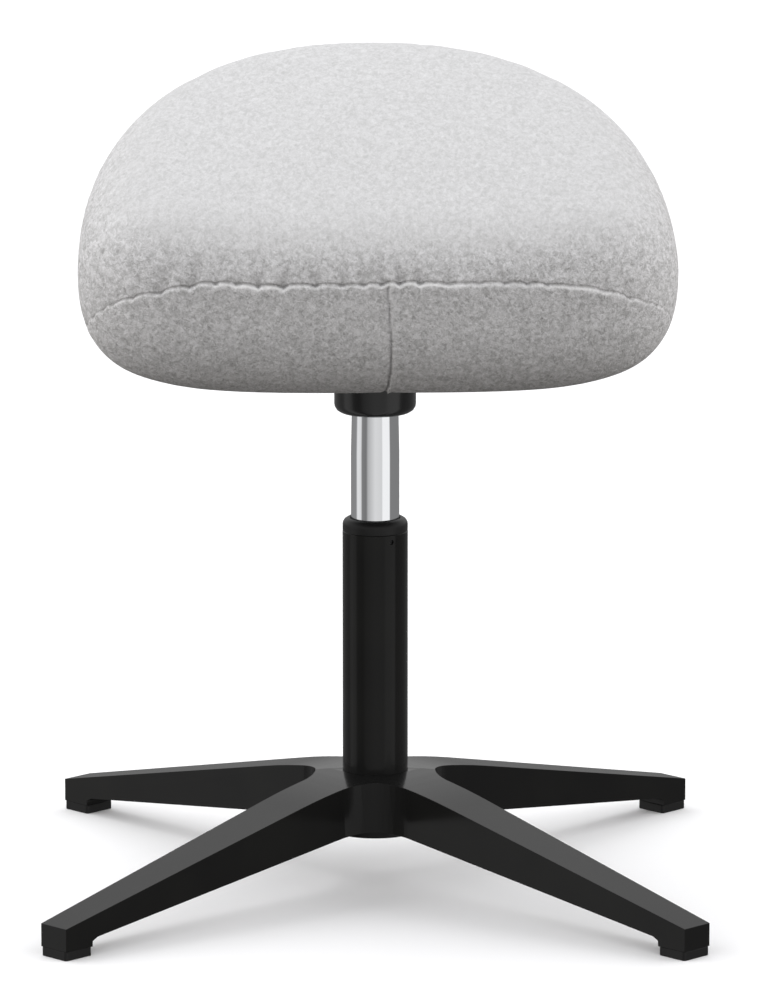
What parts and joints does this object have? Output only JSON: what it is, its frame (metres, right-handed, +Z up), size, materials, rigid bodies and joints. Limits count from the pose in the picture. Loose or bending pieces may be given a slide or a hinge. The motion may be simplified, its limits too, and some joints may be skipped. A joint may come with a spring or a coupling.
{
  "type": "adjustable swivel stool",
  "caption": "Backless swivel stool with a thick felt-covered, forward-sloping seat on a gas-lift column and a low four-arm star base with flat glides.",
  "frame": {"origin": "on the floor, on the axis of the column", "axes": "+Z up along the column; -Y towards the front of the seat, the low side of its slope; +X to the right of someone facing the stool's front"},
  "size_m": [0.4958, 0.4958, 0.6287],
  "materials": {
    "black_powder_coat": "satin black powder coat on cast aluminium and on steel",
    "black_plastic": "moulded black plastic, lightly grained",
    "gloss_black_plastic": "smooth glossy black plastic",
    "chrome_plate": "polished chrome plate",
    "plain_steel": "machined or zinc-plated steel",
    "brass_cage": "pressed brass",
    "black_rubber": "matt black rubber",
    "grey_wool_felt": "light-grey melange wool felt",
    "black_lining": "black non-woven lining cloth",
    "seat_foam": "cold-cure polyurethane foam",
    "birch_plywood": "birch plywood, unfinished",
    "black_oxide_steel": "black-oxide steel"
  },
  "bodies": {
    "base": {"star_base": "black_powder_coat", "glide_front_left": "black_plastic", "glide_front_right": "black_plastic", "glide_rear_left": "black_plastic", "glide_rear_right": "black_plastic", "glide_screws": "plain_steel", "stand_tube": "black_powder_coat", "tube_end_plate": "plain_steel", "lower_race": "plain_steel", "guide_bush": "black_plastic", "bush_screw": "black_oxide_steel", "ball_cage": "brass_cage", "bearing_balls": "plain_steel"},
    "rod": {"piston_rod": "chrome_plate", "piston": "plain_steel", "piston_ring": "black_rubber", "piston_nut": "plain_steel", "upper_race": "plain_steel", "bump_stop": "black_rubber", "rod_washer": "plain_steel", "rod_clip": "plain_steel"},
    "seat": {"gas_cylinder": "chrome_plate", "pressure_tube": "plain_steel", "rod_guide": "plain_steel", "rod_seal": "black_rubber", "valve_body": "plain_steel", "seat_bracket": "black_powder_coat", "cone_cover": "gloss_black_plastic", "lever_pivot": "plain_steel", "bracket_bolts": "plain_steel", "bolt_washers": "plain_steel", "tee_nuts": "plain_steel", "seat_board": "birch_plywood", "foam_core": "seat_foam", "underside_cloth": "black_lining", "cover_top": "grey_wool_felt", "cover_front_left": "grey_wool_felt", "cover_front_right": "grey_wool_felt", "cover_rear_left": "grey_wool_felt", "cover_rear_right": "grey_wool_felt"},
    "lever": {"lever_rod": "black_powder_coat", "lever_grip": "black_plastic"},
    "valve": {"valve_pin": "plain_steel"}
  },
  "joints": [
    {"name": "swivel", "type": "hinge", "parent": "base", "child": "rod", "pos_m": [0, 0, 0.05], "axis": [0, 0, 1], "continuous": true},
    {"name": "lift", "type": "slide", "parent": "rod", "child": "seat", "axis": [0, 0, 1], "range_m": [-0.074, 0.032]},
    {"name": "lever_pull", "type": "hinge", "parent": "seat", "child": "lever", "pos_m": [0.02399, 0.0005, 0.423], "axis": [0.0209, -0.9998, 0], "range_deg": [0, 6], "stiffness_Nm_per_rad": 3, "springref_deg": -14.32},
    {"name": "valve_press", "type": "slide", "parent": "seat", "child": "valve", "axis": [0, 0, -1], "range_m": [0, 0.0026]}
  ],
  "couplings": [
    {"joint": "valve_press", "follows": "lever_pull", "m_per_rad": 0.024}
  ]
}
